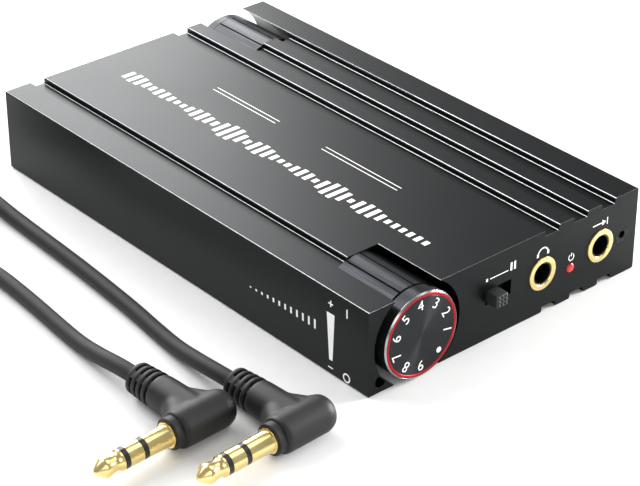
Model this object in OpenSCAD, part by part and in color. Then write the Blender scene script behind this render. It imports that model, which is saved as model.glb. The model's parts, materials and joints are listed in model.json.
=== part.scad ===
// Pocket headphone amplifier with its plug-to-plug patch lead.
// Millimetres, +Z up. The origin is the middle of the case's flat base,
// and the face with the jacks and the volume wheel looks along -Y.

/* [Case] */
// Width of the case
body_w = 60; // [60:1:72]
// Length of the case, front face to rear face
body_l = 98; // [98:1:130]
// Thickness of the case
body_t = 15.4; // [15.4:0.1:17]
// Width of the plain rail along each long side
rail_w = 5.6; // [5:0.1:6.5]
// Width of the grooves beside the right rail
groove_w = 3.15; // [2.5:0.05:3.3]
// Width of the ribs between those grooves
rib_w = 3.45; // [3:0.05:3.6]
// Width of the single channel beside the left rail
channel_w = 2.8; // [2:0.1:3]
// Depth of the grooves and the channel
groove_d = 1; // [0.6:0.1:1.2]
// Bevel along the edges of the grooves and rails
edge_bevel = 0.2; // [0.1:0.05:0.3]
// Bevel along the foot of each groove's walls
foot_bevel = 0.15; // [0.1:0.05:0.2]
// Thickness of the front and rear plates
plate_t = 1.6; // [1.2:0.1:2]

/* [Corner barrels] */
// Distance of each barrel's axis from the side of the case
pocket_inset = 10.25; // [10:0.05:10.5]
// Radius of the round pocket milled around a barrel
pocket_r = 9; // [8.8:0.1:9.2]
// Depth of that pocket
pocket_depth = 14.6; // [13:0.1:16]
// Radius of the barrel and of the volume wheel
barrel_r = 7.6; // [7.2:0.05:7.65]

/* [Volume wheel] */
// Thickness of the wheel
wheel_t = 2.7; // [2.4:0.1:2.7]
// How far the wheel stands out of the front face
wheel_out = 1; // [0.8:0.1:1.2]
// Width of the coloured ring let into the wheel's face
ring_w = 0.42; // [0.3:0.02:0.6]
// Radius of the potentiometer's shaft
shaft_r = 1.5; // [1.4:0.05:1.6]

/* [Front controls] */
// Line out jack, distance from the middle of the face
line_out_x = 7.7; // [7.3:0.1:8]
// Line in jack, distance from the middle of the face
line_in_x = 21.3; // [21.2:0.05:21.4]
// Radius of a jack's hole, for a 3.5 mm plug
jack_bore_r = 1.8; // [1.78:0.01:1.85]
// Radius of a jack's gilt bushing
bushing_r = 3; // [2.8:0.05:3.1]
// Travel of the gain switch
gain_travel = 2.5; // [2:0.1:2.6]

/* [Patch lead] */
// Radius of the plug's pin
pin_r = 1.75; // [1.74:0.01:1.76]
// Length of the plug's pin
pin_l = 14; // [13.5:0.1:14.5]
// Radius of the moulded plug body
mould_r = 3.1; // [2.9:0.05:3.1]
// Radius of the cable
cable_r = 1.4; // [1.3:0.05:1.4]

/* [Hidden] */
$fn = 96;

// running clearance of a turning shaft and of parts that sit in holes
run_gap = 0.05;
// how far a cutting solid passes through the face that it cuts
cut = 1;

half_w = body_w / 2;
half_l = body_l / 2;
axis_z = body_t / 2;
pocket_x = half_w - pocket_inset;
pocket_end = half_l - pocket_depth;
barrel_front = half_l - 2;
plate_in = half_l - plate_t;

// grooves across the case, each [left, right], the same above and below
groove_pitch = groove_w + rib_w;
channel = [-half_w + rail_w, -half_w + rail_w + channel_w];
right_grooves = [for (i = [2:-1:0]) half_w - rail_w - groove_w - i * groove_pitch];
grooves = concat([channel], [for (x = right_grooves) [x, x + groove_w]]);

// the hollow inside
cavity_x = half_w - 5;
cavity_floor = 2.6;
cavity_top = body_t - 2.6;
pocket_wall = 1.2;
wire_hole_r = 2.4;
cavity_y = pocket_end - pocket_wall;
neck_x = pocket_x - pocket_r - 1;

// circuit board
board_z = 4;
board_t = 1;
board_top = board_z + board_t;
board_side = neck_x - 0.35;
rib_h = board_z - cavity_floor;
slot_depth = 0.8;
board_screw_spots = [[-6, 24], [6, 4]];

// plate screws
screw_x = half_w - 3.4;
screw_head_r = 1.5;
screw_head_h = 0.9;
screw_core_r = 0.8;
screw_l = 6;

// small blind hole in the thin lip beside each barrel
lip_hole_r = 1.1;
lip_hole_l = 6;
lip_hole_x = -half_w + 2.6;
lip_hole_z = 2;

// jacks and lamps
jack_z = board_top + 2.6;
jack_w = 6.4;
jack_h = 5.2;
jack_l = 13;
jack_face = plate_in - 0.1;
neck_r = 2.5;
neck_l = 2.6;
bushing_out = 0.3;
led_r = 0.9;
led_z = board_top + led_r + 0.05;
power_led_x = (line_out_x + line_in_x) / 2;
charge_led_x = 6.6;

// charging inlet in the rear plate
socket_w = 7.5;
socket_h = 2.6;
socket_back = half_l - 5.9;

// gain switch, slider shown at its left stop
gain_z = 8;
slider_w = 2.5;
slider_h = 2.2;
slider_out = 2.3;
slider_left = -4.8;
slot_w = slider_w + gain_travel + 0.7;
slot_left = slider_left - 0.3;
slot_h = slider_h + 0.6;
gain_can_x = -6.6;
gain_can_w = 8.8;
gain_can_d = 3.8;
gain_can_h = 5.9;
sheet_t = 0.3;

// the potentiometer inside the volume barrel
wall_t = 1.2;
pot_r = 6;
pot_face = barrel_front - wall_t;
pot_depth = 5.5;
shaft_end = pot_face - 2.2;
tag_pitch = 1.25;
tag_l = 1.6;

// plug: origin where the cable leaves it, arm along -Y, pin along -X
arm_l = 14.7;
arm_x = 6.3;
mould_l = 12.3;
collar_l = 1.3;
plug_turn = 2.5;
exit_a = [-56.2, -25.2, 3.1];
exit_b = [-45.7, -36.1, 3.1];

// pin of the plug: distances from the collar
sleeve_l = 4.8;
insulator_l = 0.9;
ring_end = 8.3;
tip_start = ring_end + insulator_l;

// coil of the lead that is put away, two turns wide and two turns high
coil_x = -58;
coil_y = 55;
coil_r = 15.5;

// the lead's two free stretches, each from its plug to the coil
route_a = [
    exit_a, [-56.4, -21, 3], [-56.4, -15.5, 2.3], [-56.1, -10, 1.6], [-55.6, -4, 1.4],
    [-55, 3, 1.4], [-54.5, 10, 1.4], [-54.3, 17, 1.4], [-55, 24, 1.4], [-57.6, 30, 1.4],
    [-61.8, 34.8, 1.4], [-66.6, 39, 1.4], [-70.8, 43.8, 1.4], [-73.8, 49.2, 1.4], [-74.9, 55, 1.4]];
route_b = [
    exit_b, [-45.9, -32, 3], [-45.7, -26.5, 2.4], [-45.2, -20.5, 1.7], [-44.4, -14, 1.4],
    [-43.6, -7, 1.4], [-43, 0, 1.4], [-42.5, 7, 1.4], [-42.1, 14, 1.4], [-41.8, 21, 1.4],
    [-41.5, 28, 1.4], [-41.3, 35, 1.7], [-41.2, 42, 2.5], [-41.1, 49, 3.6], [-41.1, 55, 4.2]];
tube_sides = 8;

// ---------------------------------------------------------------- shared shapes

// a cylinder of radius r from y0 to y1, on the line through x and z
module along(r, y0, y1, x = 0, z = axis_z) {
    translate([x, y0, z]) rotate([-90, 0, 0]) cylinder(h = y1 - y0, r = r);
}

// a flat outline in X and Z, drawn out from y0 to y1
module drawn(y0, y1) {
    translate([0, y1, 0]) rotate([90, 0, 0]) linear_extrude(y1 - y0) children();
}

// a box from one corner to the opposite one
module box(low, high) {
    translate(low) cube(high - low);
}

// the same thing turned half round, for the rear end of the case
module at_rear() {
    rotate([0, 0, 180]) children();
}

// upper outline of the case from left to right, with its grooves
function groove_points(g) =
    let (floor_z = body_t - groove_d, foot_z = floor_z + foot_bevel) [
    [g[0] - edge_bevel, body_t], [g[0], body_t - edge_bevel],
    [g[0], foot_z], [g[0] + foot_bevel, floor_z], [g[1] - foot_bevel, floor_z], [g[1], foot_z],
    [g[1], body_t - edge_bevel], [g[1] + edge_bevel, body_t]];
function upper_outline() = concat(
    [[-half_w, body_t - edge_bevel], [-half_w + edge_bevel, body_t]],
    [for (g = grooves) each groove_points(g)],
    [[half_w - edge_bevel, body_t], [half_w, body_t - edge_bevel]]);
function flipped(points) = [for (i = [len(points) - 1:-1:0]) [points[i][0], body_t - points[i][1]]];

module case_outline() {
    polygon(concat(upper_outline(), flipped(upper_outline())));
}

// ---------------------------------------------------------------- case

// room that the front plate takes, right of the volume barrel's axis
module plate_room() {
    box([-pocket_x, -half_l - cut, -cut], [half_w + cut, -plate_in, body_t + cut]);
}

module pocket() {
    along(pocket_r, -half_l - cut, -pocket_end, -pocket_x);
}

// neck of the hollow beside a barrel, open at the end of the shell
module cavity_neck() {
    box([-neck_x, -half_l - cut, cavity_floor], [cavity_x, -cavity_y + cut, cavity_top]);
}

// what is milled or drilled in each end of the shell
module end_machining() {
    plate_room();
    pocket();
    cavity_neck();
    along(wire_hole_r, -pocket_end - cut, -cavity_y + cut, -pocket_x);
    along(lip_hole_r, -half_l - cut, -half_l + lip_hole_l, lip_hole_x, lip_hole_z);
    along(screw_core_r + run_gap, -plate_in - cut, -half_l + screw_l + 0.2, screw_x);
}

// two ledges along the hollow's floor and two posts, which carry the board
ledge_w = 1;
post_r = 1.8;
post_hole_r = 0.6;
module board_posts() {
    for (x = [-board_side + 0.2, board_side - 0.2 - ledge_w])
        box([x, -cavity_y, cavity_floor], [x + ledge_w, cavity_y, board_z]);
    for (spot = board_screw_spots)
        translate([spot[0], spot[1], cavity_floor]) cylinder(h = rib_h, r = post_r);
}

module shell() color("#2b2d2f") {
    difference() {
        union() {
            difference() {
                drawn(-half_l, half_l) case_outline();
                box([-cavity_x, -cavity_y, cavity_floor], [cavity_x, cavity_y, cavity_top]);
                end_machining();
                at_rear() end_machining();
            }
            board_posts();
        }
        // slot in the right rail for the board's edge
        box([cavity_x - cut, -half_l - cut, board_z - run_gap],
            [cavity_x + slot_depth, cavity_y, board_top + run_gap]);
        for (spot = board_screw_spots)
            translate([spot[0], spot[1], cavity_floor]) cylinder(h = rib_h + cut, r = post_hole_r);
    }
}

// what is cut from a plate's blank: the pocket, and a sunk hole for its screw
module plate_cuts() {
    box([-half_w - cut, -half_l - cut, -cut], [-pocket_x, -plate_in + cut, body_t + cut]);
    pocket();
    along(screw_core_r + 0.1, -half_l - cut, -plate_in + cut, screw_x);
    along(screw_head_r + run_gap, -half_l - cut, -half_l + screw_head_h, screw_x);
}

module front_plate() color("#2b2d2f") difference() {
    drawn(-half_l, -plate_in) case_outline();
    plate_cuts();
    for (x = [line_out_x, line_in_x])
        along(bushing_r + run_gap, -half_l - cut, -plate_in + cut, x, jack_z);
    along(led_r + run_gap, -half_l - cut, -plate_in + cut, power_led_x, led_z);
    slider_slot(-half_l - cut, -plate_in + cut);
}

module rear_plate() color("#2b2d2f") difference() {
    drawn(plate_in, half_l) case_outline();
    at_rear() plate_cuts();
    along(led_r + run_gap, plate_in - cut, half_l + cut, charge_led_x, led_z);
    box([-socket_w / 2 - 0.35, plate_in - cut, board_top - 0.3],
        [socket_w / 2 + 0.35, half_l + cut, board_top + socket_h + 0.3]);
}

module plate_screw() {
    difference() {
        along(screw_head_r, -half_l, -half_l + screw_head_h, screw_x);
        translate([screw_x, -half_l - cut, axis_z]) rotate([-90, 0, 0])
            cylinder(h = cut + 0.6, r = 0.75, $fn = 6);
    }
    along(screw_core_r, -half_l + screw_head_h, -half_l + screw_l, screw_x);
}

module plate_screws() color("#1d1e20") {
    plate_screw();
    at_rear() plate_screw();
}

// ---------------------------------------------------------------- corner barrels

// a barrel with two fine seams along its upper side, at the given angles
seam_angles = [-16.5, 6.5];
module seamed_barrel(angles) {
    front = barrel_front;
    back = pocket_end;
    difference() {
        along(barrel_r, -front, -back, -pocket_x);
        for (a = angles)
            translate([-pocket_x, 0, axis_z]) rotate([0, a, 0])
                box([-0.1, -front - cut, barrel_r - 0.25], [0.1, -back + cut, barrel_r + cut]);
    }
}

module volume_barrel() color("#303234") difference() {
    seamed_barrel(seam_angles);
    along(barrel_r - wall_t, -pot_face, -pocket_end + cut, -pocket_x);
    along(neck_r + run_gap, -barrel_front - cut, -pot_face + cut, -pocket_x);
}

module rear_barrel() color("#303234") at_rear() difference() {
    seamed_barrel(-seam_angles);
    along(barrel_r - wall_t, -barrel_front - cut, -pocket_end + cut, -pocket_x);
}

// turned lid with a spigot that fits inside the rear barrel
module rear_barrel_cap() color("#26282a") at_rear() {
    along(barrel_r, -half_l, -barrel_front, -pocket_x);
    along(barrel_r - wall_t - run_gap, -barrel_front, -barrel_front + 2, -pocket_x);
}

// ---------------------------------------------------------------- volume control

wheel_face = half_l + wheel_out;
wheel_back = wheel_face - wheel_t;
ring_out_r = barrel_r - 0.3;
ring_in_r = ring_out_r - ring_w;
ring_depth = 0.4;

// the wheel in profile: radius, then distance back from its face
module volume_wheel() color("#1c1d1f") difference() {
    translate([-pocket_x, -wheel_face, axis_z]) rotate([-90, 0, 0]) rotate_extrude()
        polygon([
            [0, 0], [ring_in_r - 0.02, 0], [ring_in_r - 0.02, ring_depth + 0.02],
            [ring_out_r + 0.02, ring_depth + 0.02], [ring_out_r + 0.02, 0],
            [barrel_r - 0.22, 0], [barrel_r, 0.22], [barrel_r, wheel_t], [0, wheel_t]]);
    along(shaft_r + 0.02, -wheel_face + 0.8, -wheel_back + cut, -pocket_x);
}

module wheel_ring() color("#c4202c") difference() {
    along(ring_out_r, -wheel_face, -wheel_face + ring_depth, -pocket_x);
    along(ring_in_r, -wheel_face - cut, -wheel_face + ring_depth + cut, -pocket_x);
}

module pot_shaft() color("#c9ccd0") along(shaft_r, -wheel_face + 0.9, -shaft_end, -pocket_x);

// carrier disc on the end of the shaft, with two sprung fingers
module pot_wiper() color("#d8b25a") {
    along(4.4, -shaft_end, -shaft_end + 0.6, -pocket_x);
    for (x = [-3.4, 3])
        box([-pocket_x + x, -shaft_end + 0.6, axis_z - 0.6],
            [-pocket_x + x + 0.4, -shaft_end + 1.4, axis_z + 0.6]);
}

module pot_can() color("#b9bcc0") difference() {
    union() {
        along(pot_r, -pot_face, -pot_face + pot_depth, -pocket_x);
        along(neck_r, -barrel_front, -pot_face, -pocket_x);
    }
    along(shaft_r + run_gap, -barrel_front - cut, -pot_face + cut, -pocket_x);
    along(pot_r - 0.5, -pot_face + 0.6, -pot_face + pot_depth + cut, -pocket_x);
}

// wafer with the resistance track, closing the can, and its three tags
module pot_track() color("#7a5230") {
    along(pot_r - 0.55, -pot_face + 4.2, -pot_face + pot_depth, -pocket_x);
    for (i = [-1:1])
        box([-pocket_x + tag_pitch * i - 0.35, -pot_face + pot_depth, axis_z - 0.2],
            [-pocket_x + tag_pitch * i + 0.35, -pot_face + pot_depth + tag_l, axis_z + 0.2]);
}

wire_r = 0.5;
pot_wire_start = pot_face - pot_depth - tag_l;
pot_wire_end_x = -board_side + 1.6;

// one wire: back through the pocket's wall, across, then down to the board
module pot_wire(i) {
    x = -pocket_x + tag_pitch * (i - 1);
    y = -cavity_y + 2.2 + 1.6 * (2 - i);
    z = axis_z;
    along(wire_r, -pot_wire_start, y, x, z);
    translate([x, y, z]) sphere(r = wire_r);
    translate([x, y, z]) rotate([0, 90, 0]) cylinder(h = pot_wire_end_x - x, r = wire_r);
    translate([pot_wire_end_x, y, z]) sphere(r = wire_r);
    translate([pot_wire_end_x, y, board_top]) cylinder(h = z - board_top, r = wire_r);
}

module pot_wires() color("#a02a2a") for (i = [0:2]) pot_wire(i);

// ---------------------------------------------------------------- gain switch

// slot for the slider, at one height in the plate and in the switch's can
module slider_slot(y0, y1) {
    box([slot_left, y0, gain_z - slot_h / 2], [slot_left + slot_w, y1, gain_z + slot_h / 2]);
}

slider_face = half_l + slider_out;
carriage_front = plate_in - sheet_t - 0.4;
carriage_back = carriage_front - 1.6;

module gain_slider() color("#232425") {
    box([slider_left, -slider_face, gain_z - slider_h / 2],
        [slider_left + slider_w, -carriage_front, gain_z + slider_h / 2]);
    box([slider_left - 1, -carriage_front, gain_z - 1.8],
        [slider_left + slider_w + 1, -carriage_back, gain_z + 1.8]);
    // grip studs, three by three
    for (i = [-1:1], k = [-1:1])
        along(0.24, -slider_face - 0.2, -slider_face,
            slider_left + slider_w / 2 + 0.78 * i, gain_z + 0.7 * k);
}

module gain_bridge() color("#d8b25a")
    box([slider_left - 0.6, -carriage_back, gain_z - 1],
        [slider_left + slider_w + 0.6, -carriage_back + 0.3, gain_z + 1]);

module gain_switch_can() color("#b9bcc0") difference() {
    box([gain_can_x, -plate_in, board_top],
        [gain_can_x + gain_can_w, -plate_in + gain_can_d, board_top + gain_can_h]);
    box([gain_can_x + sheet_t, -plate_in + sheet_t, board_top - cut],
        [gain_can_x + gain_can_w - sheet_t, -plate_in + gain_can_d + cut,
         board_top + gain_can_h - sheet_t]);
    slider_slot(-plate_in - cut, -plate_in + cut);
}

// bakelite base behind the contacts, with three pins into the board
module gain_switch_terminals() color("#7a5230") {
    box([gain_can_x + sheet_t + 0.05, -plate_in + 3, board_top + 0.1],
        [gain_can_x + gain_can_w - sheet_t - 0.05, -plate_in + gain_can_d,
         board_top + gain_can_h - sheet_t - 0.05]);
    for (x = [-5.2, -2.2, 0.8])
        box([x - 0.25, -plate_in + gain_can_d, board_top],
            [x + 0.25, -plate_in + gain_can_d + 0.5, board_top + 1.2]);
}

// ---------------------------------------------------------------- jacks and lamps

module bushing(x) color("#d9bf66") difference() {
    union() {
        along(bushing_r, -half_l - bushing_out, -jack_face, x, jack_z);
        along(neck_r, -jack_face, -jack_face + neck_l, x, jack_z);
    }
    along(jack_bore_r, -half_l - cut, -jack_face + neck_l + cut, x, jack_z);
}

module line_out_bushing() bushing(line_out_x);
module line_in_bushing() bushing(line_in_x);

spring_spots = [3.6, 6.6, 9.6];
module jack_body(x) color("#1a1a1b") difference() {
    box([x - jack_w / 2, -jack_face, board_top],
        [x + jack_w / 2, -jack_face + jack_l, board_top + jack_h]);
    along(neck_r + run_gap, -jack_face - cut, -jack_face + neck_l, x, jack_z);
    along(jack_bore_r + 0.4, -jack_face, -jack_face + jack_l - 0.8, x, jack_z);
    for (y = spring_spots)
        box([x - 0.6, -jack_face + y, jack_z], [x + 0.6, -jack_face + y + 1.2, board_top + 6]);
}

module line_out_body() jack_body(line_out_x);
module line_in_body() jack_body(line_in_x);

// sprung strips over each jack, each with a finger that reaches the plug
module jack_spring(x, y) {
    top = board_top + jack_h;
    box([x - 0.4, y + 0.1, top], [x + jack_w / 2 + 0.35, y + 1.1, top + 0.25]);
    box([x - 0.4, y + 0.1, jack_z + jack_bore_r + 0.1], [x + 0.4, y + 1.1, top]);
    box([x + jack_w / 2 + 0.1, y + 0.1, board_top], [x + jack_w / 2 + 0.35, y + 1.1, top]);
}

module jack_springs() color("#cfd2d6")
    for (x = [line_out_x, line_in_x], y = spring_spots) jack_spring(x, -jack_face + y);

// round lamp that shows through the plate, with two legs down to the board
module lamp(x) {
    lamp_back = -plate_in + 2;
    along(led_r, -half_l - 0.15, lamp_back, x, led_z);
    for (dx = [-0.45, 0.45]) {
        box([x + dx - 0.15, lamp_back, led_z - 0.15], [x + dx + 0.15, lamp_back + 1.2, led_z + 0.15]);
        box([x + dx - 0.15, lamp_back + 0.9, board_top], [x + dx + 0.15, lamp_back + 1.2, led_z]);
    }
}

module power_led() color("#ff2a1c") lamp(power_led_x);
module charge_led() color("#d8dde2") at_rear() lamp(-charge_led_x);

// ---------------------------------------------------------------- electronics

board_front = half_l - plate_t - 0.2;
module circuit_board() color("#1f6b3a") difference() {
    translate([0, 0, board_z]) linear_extrude(board_t) polygon([
        [-board_side, -board_front], [cavity_x + slot_depth - 0.1, -board_front],
        [cavity_x + slot_depth - 0.1, cavity_y - 0.4], [board_side, cavity_y - 0.4],
        [board_side, board_front], [-board_side, board_front]]);
    for (spot = board_screw_spots)
        translate([spot[0], spot[1], board_z - cut]) cylinder(h = board_t + 2 * cut, r = 0.75);
}

module board_screws() color("#b9bcc0") for (spot = board_screw_spots)
    translate([spot[0], spot[1], 0]) {
        translate([0, 0, board_top]) cylinder(h = 0.7, r = 1.3);
        translate([0, 0, cavity_floor + 0.2]) cylinder(h = board_top - cavity_floor - 0.2, r = 0.55);
    }

// small-outline chip with its feet, centred on the spot
module chip(x, y, w, l, h) {
    translate([x - w / 2, y - l / 2, board_top]) cube([w, l, h]);
    for (i = [-1.5:1.5], side = [-1, 1])
        translate([x + side * (w / 2 + 0.35) - 0.35, y + 1.2 * i - 0.2, board_top]) cube([0.7, 0.4, 0.5]);
}

module amp_chips() color("#17181a") for (x = [2, 16]) chip(x, -24, 4, 5, 1.6);
module charge_chip() color("#17181a") chip(-4, 37, 4, 5, 1.6);

module filter_capacitors() color("#9fa3a8")
    for (x = [-4, 9, 22], y = [-31, -20.6])
        translate([x, y, board_top]) {
            cylinder(h = 5.4, r = 2.5);
            translate([-2.6, -2.6, 0]) cube([5.2, 5.2, 0.6]);
        }

// charging inlet: a folded sheet shell, and the contact tongue inside it
module charge_socket() color("#c9ccd0") difference() {
    box([-socket_w / 2, socket_back, board_top], [socket_w / 2, half_l - 0.3, board_top + socket_h]);
    box([-socket_w / 2 + sheet_t, socket_back + sheet_t, board_top + sheet_t],
        [socket_w / 2 - sheet_t, half_l + cut, board_top + socket_h - sheet_t]);
}

module charge_tongue() color("#1a1a1b")
    box([-1.9, socket_back + sheet_t, board_top + 1.2], [1.9, half_l - 1.4, board_top + 1.8]);

battery_low = [-20, -10, board_top + 2.2];
battery_high = [14, 31, cavity_top - 0.3];
seal_l = 1.6;
module battery() color("#aeb4bb") {
    box(battery_low, battery_high);
    // folded seal and protection board at the lead end
    box([battery_low[0] + 2, battery_low[1] - seal_l, battery_low[2] + 1],
        [battery_high[0] - 2, battery_low[1], battery_high[2] - 1]);
}

module battery_pad() color("#3c4046")
    box([-7.8, -4, board_top], [3.4, 20, battery_low[2]]);

connector_y = -17.6;
connector_l = 4;
module battery_connector() color("#e6e2d2")
    box([0, connector_y, board_top], [5, connector_y + connector_l, board_top + 4.6]);

module battery_wires() color("#b0201c") for (x = [1.4, 3.6])
    along(0.6, connector_y + connector_l, battery_low[1] - seal_l, x, board_top + 3.4);

// ---------------------------------------------------------------- patch lead

// a solid of revolution about the pin's line: [distance from the collar, radius]
module turned(profile) {
    translate([-arm_x, -arm_l, 0]) rotate([0, -90, 0]) rotate_extrude()
        polygon([for (p = profile) [p[1], p[0]]]);
}

module place(spot) {
    translate(spot) rotate([0, 0, plug_turn]) children();
}

// strain relief: four ribs on the end of the arm
rib_pitch = 1.3;
module strain_relief() {
    rotate([90, 0, 0]) cylinder(h = 5.4, r = 2.3);
    for (i = [0:3])
        translate([0, -i * rib_pitch, 0]) rotate([90, 0, 0]) cylinder(h = 0.8, r = 2.7 + 0.08 * i);
}

module mould() color("#2a2b2c") {
    turned([[0, 0], [0, 2.6], [-collar_l, 2.6], [-collar_l, 0]]);
    turned([
        [-collar_l, 0], [-collar_l, mould_r - 0.3], [-collar_l - 0.3, mould_r],
        [-mould_l + 1.2, mould_r], [-mould_l + 0.35, mould_r - 0.5], [-mould_l, mould_r - 1.4],
        [-mould_l, 0]]);
    translate([0, -5.2, 0]) rotate([90, 0, 0]) cylinder(h = arm_l - 5.2, r = mould_r - 0.1);
    strain_relief();
}

module sleeve() color("#e0c368") turned([
    [0, 0], [0, 2.1], [0.35, 2.1], [0.35, pin_r], [sleeve_l, pin_r], [sleeve_l, 0]]);

module contact_ring() color("#e0c368") turned([
    [sleeve_l + insulator_l, 0], [sleeve_l + insulator_l, pin_r], [ring_end, pin_r], [ring_end, 0]]);

module tip() color("#e0c368") turned([
    [tip_start, 0], [tip_start, pin_r], [tip_start + 0.35, pin_r], [tip_start + 0.9, 1.25],
    [tip_start + 1.3, 1.25], [tip_start + 2.7, pin_r], [pin_l - 1.5, pin_r], [pin_l, 0.25], [pin_l, 0]]);

module insulators() color("#141414") for (x = [sleeve_l, ring_end])
    turned([[x, 0], [x, pin_r], [x + insulator_l, pin_r], [x + insulator_l, 0]]);

module plug_a_mould() place(exit_a) mould();
module plug_a_sleeve() place(exit_a) sleeve();
module plug_a_ring() place(exit_a) contact_ring();
module plug_a_tip() place(exit_a) tip();
module plug_a_insulators() place(exit_a) insulators();
module plug_b_mould() place(exit_b) mould();
module plug_b_sleeve() place(exit_b) sleeve();
module plug_b_ring() place(exit_b) contact_ring();
module plug_b_tip() place(exit_b) tip();
module plug_b_insulators() place(exit_b) insulators();

// direction of a route at point i, and a ring of the tube square to it
function unit(v) = v / norm(v);
function heading(route, i) =
    unit(route[min(i + 1, len(route) - 1)] - route[max(i - 1, 0)]);
function tube_ring(route, i) =
    let (t = heading(route, i), side = unit(cross(t, [0, 0, 1])), up = cross(side, t))
    [for (k = [0:tube_sides - 1])
        route[i] + cable_r * (cos(k * 360 / tube_sides) * side + sin(k * 360 / tube_sides) * up)];

module tube(route) {
    n = len(route);
    polyhedron(
        points = [for (i = [0:n - 1]) each tube_ring(route, i)],
        faces = concat(
            [[for (k = [0:tube_sides - 1]) k]],
            [for (i = [0:n - 2], k = [0:tube_sides - 1])
                [i * tube_sides + k, (i + 1) * tube_sides + k,
                 (i + 1) * tube_sides + (k + 1) % tube_sides, i * tube_sides + (k + 1) % tube_sides]],
            [[for (k = [tube_sides - 1:-1:0]) (n - 1) * tube_sides + k]]));
}

module lead_near_plug_a() color("#2e2f30") tube(route_a);
module lead_near_plug_b() color("#2e2f30") tube(route_b);

// outer shape of the coil: four turns as a ring with its corners taken off
module lead_coil() color("#2e2f30") {
    w = 2 * cable_r;
    c = 0.6 * cable_r;
    translate([coil_x, coil_y, w]) rotate_extrude()
        translate([coil_r, 0]) polygon([
            [-w, -w + c], [-w + c, -w], [w - c, -w], [w, -w + c],
            [w, w - c], [w - c, w], [-w + c, w], [-w, w - c]]);
}

// band around the coil, on its far side
tie_w = 5;
module lead_tie() color("#161617") {
    w = 2 * cable_r;
    translate([coil_x, coil_y + coil_r, w]) difference() {
        box([-tie_w / 2, -w - 1.3, -w + 0.05], [tie_w / 2, w + 0.9, w + 0.9]);
        translate([-cut - tie_w / 2, -w - 0.5, -w - cut]) cube([tie_w + 2 * cut, 2 * w + 0.6, 2 * w + cut + 0.1]);
    }
}

// ---------------------------------------------------------------- what is drawn

shell();
front_plate();
rear_plate();
plate_screws();
volume_barrel();
rear_barrel();
rear_barrel_cap();
volume_wheel();
wheel_ring();
pot_shaft();
pot_wiper();
pot_can();
pot_track();
pot_wires();
gain_slider();
gain_bridge();
gain_switch_can();
gain_switch_terminals();
line_out_bushing();
line_in_bushing();
line_out_body();
line_in_body();
jack_springs();
power_led();
charge_led();
circuit_board();
board_screws();
amp_chips();
filter_capacitors();
charge_chip();
charge_socket();
charge_tongue();
battery();
battery_pad();
battery_connector();
battery_wires();
plug_a_mould();
plug_a_sleeve();
plug_a_ring();
plug_a_tip();
plug_a_insulators();
plug_b_mould();
plug_b_sleeve();
plug_b_ring();
plug_b_tip();
plug_b_insulators();
lead_near_plug_a();
lead_coil();
lead_near_plug_b();
lead_tie();
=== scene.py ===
import json
import math

import bmesh
import bpy
from mathutils import Matrix, Vector


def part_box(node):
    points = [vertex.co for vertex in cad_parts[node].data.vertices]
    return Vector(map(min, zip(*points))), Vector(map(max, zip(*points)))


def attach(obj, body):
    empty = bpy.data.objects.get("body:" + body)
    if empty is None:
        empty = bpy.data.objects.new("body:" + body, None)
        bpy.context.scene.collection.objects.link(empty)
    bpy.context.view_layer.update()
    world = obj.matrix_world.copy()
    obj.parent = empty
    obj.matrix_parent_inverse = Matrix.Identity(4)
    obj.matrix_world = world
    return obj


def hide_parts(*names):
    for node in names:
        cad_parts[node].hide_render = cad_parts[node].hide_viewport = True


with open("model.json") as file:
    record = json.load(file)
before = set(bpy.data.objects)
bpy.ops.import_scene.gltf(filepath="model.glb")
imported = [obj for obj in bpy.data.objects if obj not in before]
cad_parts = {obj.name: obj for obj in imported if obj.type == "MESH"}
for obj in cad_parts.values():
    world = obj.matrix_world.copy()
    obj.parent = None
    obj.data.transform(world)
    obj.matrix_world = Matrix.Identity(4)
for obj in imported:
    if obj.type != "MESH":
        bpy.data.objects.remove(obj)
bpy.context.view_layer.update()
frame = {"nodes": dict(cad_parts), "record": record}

# ---------------------------------------------------------------- camera
# A long lens, a little over 0.4 m from the case, looking down over its left
# front corner.
camera_data = bpy.data.cameras.new("camera")
camera_data.sensor_width = 36
camera_data.lens = 126.4
camera_data.clip_start = 0.01
camera = bpy.data.objects.new("camera", camera_data)
bpy.context.collection.objects.link(camera)
camera.location = (-0.2221, -0.2615, 0.1974)
camera.rotation_euler = (math.radians(90 - 30.63), 0, math.radians(-40.64))
bpy.context.scene.camera = camera

# ---------------------------------------------------------------- patch lead: cable
# Thin two-core screened cable in a soft matt PVC jacket, about half a metre of it
# between the plugs. It lies on the table, and the spare length is put away in a
# coil of three and a half turns behind the plugs.
MM = 0.001
cable_r = 1.4
exits = {"a": (-56.2, -25.2, 3.1), "b": (-45.7, -36.1, 3.1)}
lead_from_a = [
    (-56.4, -21, 3), (-56.4, -15.5, 2.3), (-56.1, -10, 1.6), (-55.6, -4, 1.4),
    (-55, 3, 1.4), (-54.5, 10, 1.4), (-54.3, 17, 1.4), (-55, 24, 1.4),
    (-57.6, 30, 1.4), (-61.8, 34.8, 1.4), (-66.6, 39, 1.4), (-70.8, 43.8, 1.4),
    (-73.8, 49.2, 1.4),
]
lead_from_b = [
    (-45.9, -32, 3), (-45.7, -26.5, 2.4), (-45.2, -20.5, 1.7), (-44.4, -14, 1.4),
    (-43.6, -7, 1.4), (-43, 0, 1.4), (-42.5, 7, 1.4), (-42.1, 14, 1.4),
    (-41.8, 21, 1.4), (-41.5, 28, 1.4), (-41.3, 35, 1.7), (-41.2, 42, 2.5),
    (-41.1, 49, 3.6),
]
coil_centre = (-58, 55)
coil_layers = [(16.9, 1.4), (14.1, 1.4), (14.1, 4.2), (16.9, 4.2)]
coil_turns = 3.5
steps_a_turn = 18
tie_lift = 0.4

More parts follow.
